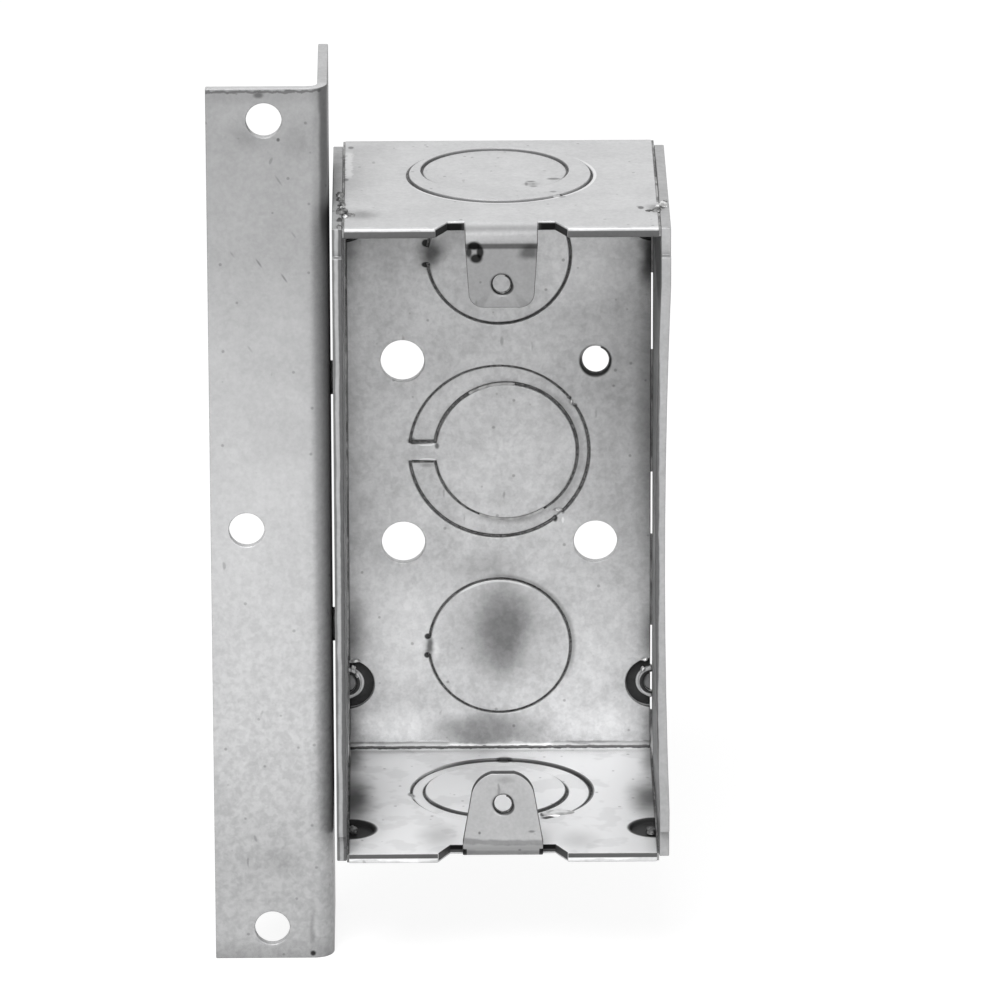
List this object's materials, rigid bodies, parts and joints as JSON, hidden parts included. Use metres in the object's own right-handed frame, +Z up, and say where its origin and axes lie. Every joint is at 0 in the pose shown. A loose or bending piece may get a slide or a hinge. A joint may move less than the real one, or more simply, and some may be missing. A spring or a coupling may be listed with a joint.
{
  "type": "electrical utility box",
  "caption": "Narrow open-front wiring box of folded galvanised sheet steel with welded side plates, folded device ears, round knockouts and an angle bracket along its left side.",
  "frame": {"origin": "middle of the outer face of the box's back wall", "axes": "+X to the right seen from the open front, +Y from the open front to the back, +Z up"},
  "size_m": [0.0697, 0.0488, 0.14],
  "materials": {
    "box_zinc": "matte galvanised, mottled",
    "plate_zinc": "matte galvanised, mottled",
    "bracket_zinc": "matte galvanised, finely speckled"
  },
  "bodies": {
    "root": {"folded_body": "box_zinc", "left_plate": "plate_zinc", "right_plate": "plate_zinc", "angle_bracket": "bracket_zinc"}
  },
  "joints": []
}
